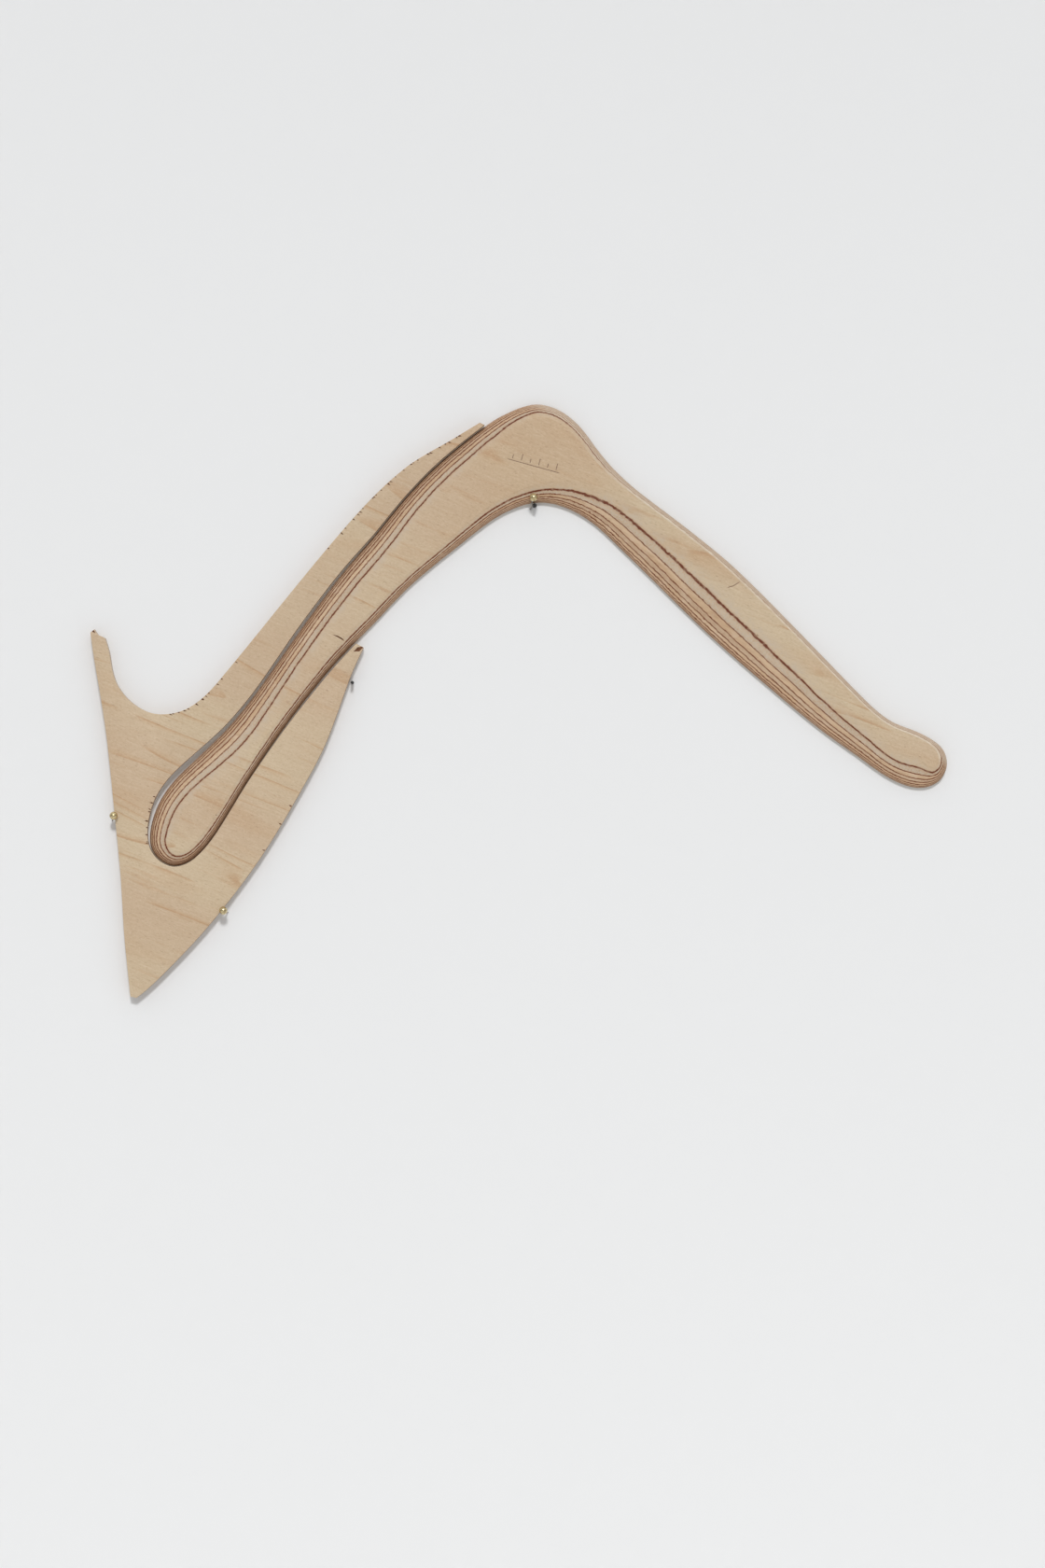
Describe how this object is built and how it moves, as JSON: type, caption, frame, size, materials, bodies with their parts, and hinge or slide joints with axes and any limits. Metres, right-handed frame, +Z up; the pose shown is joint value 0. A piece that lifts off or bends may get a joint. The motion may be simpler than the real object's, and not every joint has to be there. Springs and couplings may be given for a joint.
{
  "type": "boomerang",
  "caption": "Plywood boomerang with a bevelled airfoil, one arm nested in the sawn offcut it was cut from, both hung on brass ball pins and black nails.",
  "frame": {"origin": "axis of the nail that carries the elbow, where it enters the wall, which is the plane of both flat backs", "axes": "+X to the right along the wall, +Y into the wall, +Z up; the bevelled front faces -Y"},
  "size_m": [0.4584, 0.0257, 0.3177],
  "materials": {
    "birch_face": "sanded, bare",
    "birch_long_grain": "sanded, bare",
    "birch_cross_grain": "sanded end grain, bare",
    "brass": "polished",
    "pin_steel": "drawn wire",
    "black_steel": "black oxide"
  },
  "bodies": {
    "pins": {"elbow_pin_ball": "brass", "elbow_pin_shank": "pin_steel", "left_pin_ball": "brass", "left_pin_shank": "pin_steel", "lower_pin_ball": "brass", "lower_pin_shank": "pin_steel", "elbow_nail": "black_steel", "right_nail": "black_steel"},
    "offcut": {"offcut_back_veneer": "birch_face", "offcut_core_veneer_2": "birch_cross_grain", "offcut_core_veneer_3": "birch_long_grain", "offcut_core_veneer_4": "birch_cross_grain", "offcut_core_veneer_5": "birch_long_grain", "offcut_core_veneer_6": "birch_long_grain", "offcut_core_veneer_7": "birch_cross_grain", "offcut_core_veneer_8": "birch_long_grain", "offcut_core_veneer_9": "birch_cross_grain", "offcut_face_veneer": "birch_face"},
    "boomerang": {"boomerang_back_veneer": "birch_face", "boomerang_core_veneer_2": "birch_cross_grain", "boomerang_core_veneer_3": "birch_long_grain", "boomerang_core_veneer_4": "birch_cross_grain", "boomerang_core_veneer_5": "birch_long_grain", "boomerang_core_veneer_6": "birch_long_grain", "boomerang_core_veneer_7": "birch_cross_grain", "boomerang_core_veneer_8": "birch_long_grain", "boomerang_core_veneer_9": "birch_cross_grain", "boomerang_face_veneer": "birch_face"}
  },
  "joints": [
    {"name": "lift_off", "type": "slide", "parent": "pins", "child": "offcut", "axis": [0.2732, -0.3097, 0.9107], "range_m": [0, 0.05]},
    {"name": "boomerang_out", "type": "slide", "parent": "offcut", "child": "boomerang", "axis": [0, -1, 0], "range_m": [0, 0.03]}
  ],
  "couplings": [
    {"joint": "boomerang_out", "follows": "lift_off", "ratio": 0.6}
  ]
}
